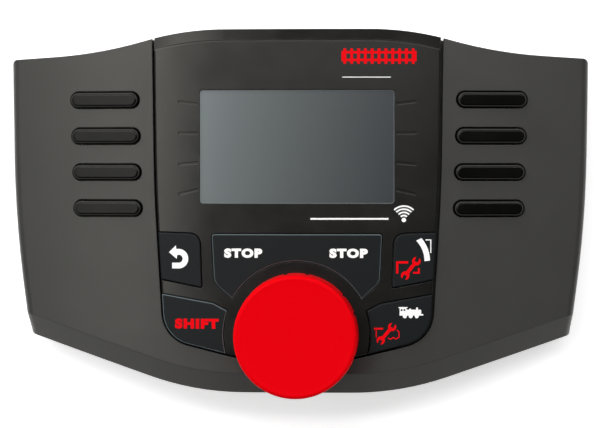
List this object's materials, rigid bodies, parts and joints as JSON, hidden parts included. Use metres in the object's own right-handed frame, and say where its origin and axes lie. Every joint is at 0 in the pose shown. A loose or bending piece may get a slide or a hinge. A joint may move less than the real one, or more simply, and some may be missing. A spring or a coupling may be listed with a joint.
{
  "type": "train set controller",
  "caption": "Hand-held wireless model railway controller with a display, a large red speed knob, panel keys, and pill-shaped keys in two side grips.",
  "frame": {"origin": "under the middle of the whole object, on the plane of its feet", "axes": "+X to the user's right across the face, +Y away from the user, +Z out of the face"},
  "size_m": [0.1574, 0.0988, 0.0367],
  "materials": {
    "grip_plastic": "fine-textured moulded plastic, dark warm grey",
    "panel_plastic": "satin moulded plastic, dark grey",
    "lens_clear": "clear acrylic lens",
    "rubber_pad": "matt rubber",
    "screw_steel": "zinc-plated",
    "function_key_plastic": "satin near-black",
    "panel_key_plastic": "satin blue-black",
    "knob_red": "soft satin red",
    "silicone": "translucent grey silicone",
    "board_green": "solder-masked laminate",
    "flex_amber": "polyimide film",
    "lcd_screen": "grey-blue display, switched off",
    "light_guide": "white light guide",
    "tray_black": "moulded black",
    "foam_grey": "closed-cell foam",
    "encoder_metal": "plated",
    "spring_nickel": "nickel-plated",
    "chip_black": "moulded epoxy",
    "capacitor_metal": "bare can",
    "cell_wrap": "printed sleeve, plain"
  },
  "bodies": {
    "casing": {"front_frame": "grip_plastic", "rear_shell": "grip_plastic", "centre_panel": "panel_plastic", "display_window": "lens_clear", "rubber_feet": "rubber_pad", "case_screws": "screw_steel", "board_screws": "screw_steel", "key_board_screws": "screw_steel", "left_key_mat": "silicone", "right_key_mat": "silicone", "panel_key_mat": "silicone", "main_board": "board_green", "left_key_board": "board_green", "right_key_board": "board_green", "wireless_board": "board_green", "left_ribbon": "flex_amber", "right_ribbon": "flex_amber", "lcd_flex": "flex_amber", "lcd_glass": "lcd_screen", "lcd_backlight": "light_guide", "lcd_holder": "tray_black", "connectors": "tray_black", "lcd_seal": "foam_grey", "encoder_body": "encoder_metal", "contact_springs": "spring_nickel", "left_contact_plates": "spring_nickel", "right_contact_plates": "spring_nickel", "push_dome": "spring_nickel", "wireless_shield": "spring_nickel", "processor_chip": "chip_black", "memory_chip": "chip_black", "power_coil": "chip_black", "capacitors": "capacitor_metal", "cell_1": "cell_wrap", "cell_2": "cell_wrap", "cell_3": "cell_wrap", "cell_4": "cell_wrap"},
    "function_key_left_1": {"function_key_left_1": "function_key_plastic"},
    "function_key_left_2": {"function_key_left_2": "function_key_plastic"},
    "function_key_left_3": {"function_key_left_3": "function_key_plastic"},
    "function_key_left_4": {"function_key_left_4": "function_key_plastic"},
    "function_key_right_1": {"function_key_right_1": "function_key_plastic"},
    "function_key_right_2": {"function_key_right_2": "function_key_plastic"},
    "function_key_right_3": {"function_key_right_3": "function_key_plastic"},
    "function_key_right_4": {"function_key_right_4": "function_key_plastic"},
    "back_key": {"back_key": "panel_key_plastic"},
    "turnout_key": {"turnout_key": "panel_key_plastic"},
    "shift_key": {"shift_key": "panel_key_plastic"},
    "loco_key": {"loco_key": "panel_key_plastic"},
    "stop_key": {"stop_key": "panel_key_plastic"},
    "encoder_rotor": {"encoder_rotor": "tray_black"},
    "knob": {"knob": "knob_red", "encoder_shaft": "encoder_metal"},
    "battery_door": {"battery_door": "grip_plastic"}
  },
  "joints": [
    {"name": "press_function_key_left_1", "type": "slide", "parent": "casing", "child": "function_key_left_1", "axis": [0.1536, 0, -0.9881], "range_m": [0, 0.0008], "stiffness_N_per_m": 400, "springref_m": -0.001, "deforming": ["left_key_mat"]},
    {"name": "press_function_key_left_2", "type": "slide", "parent": "casing", "child": "function_key_left_2", "axis": [0.1528, 0, -0.9883], "range_m": [0, 0.0008], "stiffness_N_per_m": 400, "springref_m": -0.001, "deforming": ["left_key_mat"]},
    {"name": "press_function_key_left_3", "type": "slide", "parent": "casing", "child": "function_key_left_3", "axis": [0.152, 0, -0.9884], "range_m": [0, 0.0008], "stiffness_N_per_m": 400, "springref_m": -0.001, "deforming": ["left_key_mat"]},
    {"name": "press_function_key_left_4", "type": "slide", "parent": "casing", "child": "function_key_left_4", "axis": [0.1512, 0, -0.9885], "range_m": [0, 0.0008], "stiffness_N_per_m": 400, "springref_m": -0.001, "deforming": ["left_key_mat"]},
    {"name": "press_function_key_right_1", "type": "slide", "parent": "casing", "child": "function_key_right_1", "axis": [-0.1536, 0, -0.9881], "range_m": [0, 0.0008], "stiffness_N_per_m": 400, "springref_m": -0.001, "deforming": ["right_key_mat"]},
    {"name": "press_function_key_right_2", "type": "slide", "parent": "casing", "child": "function_key_right_2", "axis": [-0.1528, 0, -0.9883], "range_m": [0, 0.0008], "stiffness_N_per_m": 400, "springref_m": -0.001, "deforming": ["right_key_mat"]},
    {"name": "press_function_key_right_3", "type": "slide", "parent": "casing", "child": "function_key_right_3", "axis": [-0.152, 0, -0.9884], "range_m": [0, 0.0008], "stiffness_N_per_m": 400, "springref_m": -0.001, "deforming": ["right_key_mat"]},
    {"name": "press_function_key_right_4", "type": "slide", "parent": "casing", "child": "function_key_right_4", "axis": [-0.1512, 0, -0.9885], "range_m": [0, 0.0008], "stiffness_N_per_m": 400, "springref_m": -0.001, "deforming": ["right_key_mat"]},
    {"name": "press_back_key", "type": "slide", "parent": "casing", "child": "back_key", "axis": [0, 0, -1], "range_m": [0, 0.0008], "stiffness_N_per_m": 400, "springref_m": -0.001, "deforming": ["panel_key_mat"]},
    {"name": "press_turnout_key", "type": "slide", "parent": "casing", "child": "turnout_key", "axis": [0, 0, -1], "range_m": [0, 0.0008], "stiffness_N_per_m": 400, "springref_m": -0.001, "deforming": ["panel_key_mat"]},
    {"name": "press_shift_key", "type": "slide", "parent": "casing", "child": "shift_key", "axis": [0, 0, -1], "range_m": [0, 0.0008], "stiffness_N_per_m": 400, "springref_m": -0.001, "deforming": ["panel_key_mat"]},
    {"name": "press_loco_key", "type": "slide", "parent": "casing", "child": "loco_key", "axis": [0, 0, -1], "range_m": [0, 0.0008], "stiffness_N_per_m": 400, "springref_m": -0.001, "deforming": ["panel_key_mat"]},
    {"name": "press_stop_key", "type": "slide", "parent": "casing", "child": "stop_key", "axis": [0, 0, -1], "range_m": [0, 0.0008], "stiffness_N_per_m": 400, "springref_m": -0.001, "deforming": ["panel_key_mat"]},
    {"name": "turn_knob", "type": "hinge", "parent": "casing", "child": "encoder_rotor", "pos_m": [0, -0.0327, 0.0273], "axis": [0, 0, 1], "continuous": true},
    {"name": "press_knob", "type": "slide", "parent": "encoder_rotor", "child": "knob", "axis": [0, 0, -1], "range_m": [0, 0.0005], "stiffness_N_per_m": 600, "springref_m": -0.001},
    {"name": "slide_battery_door", "type": "slide", "parent": "casing", "child": "battery_door", "axis": [0, 1, 0], "range_m": [0, 0.044]}
  ]
}
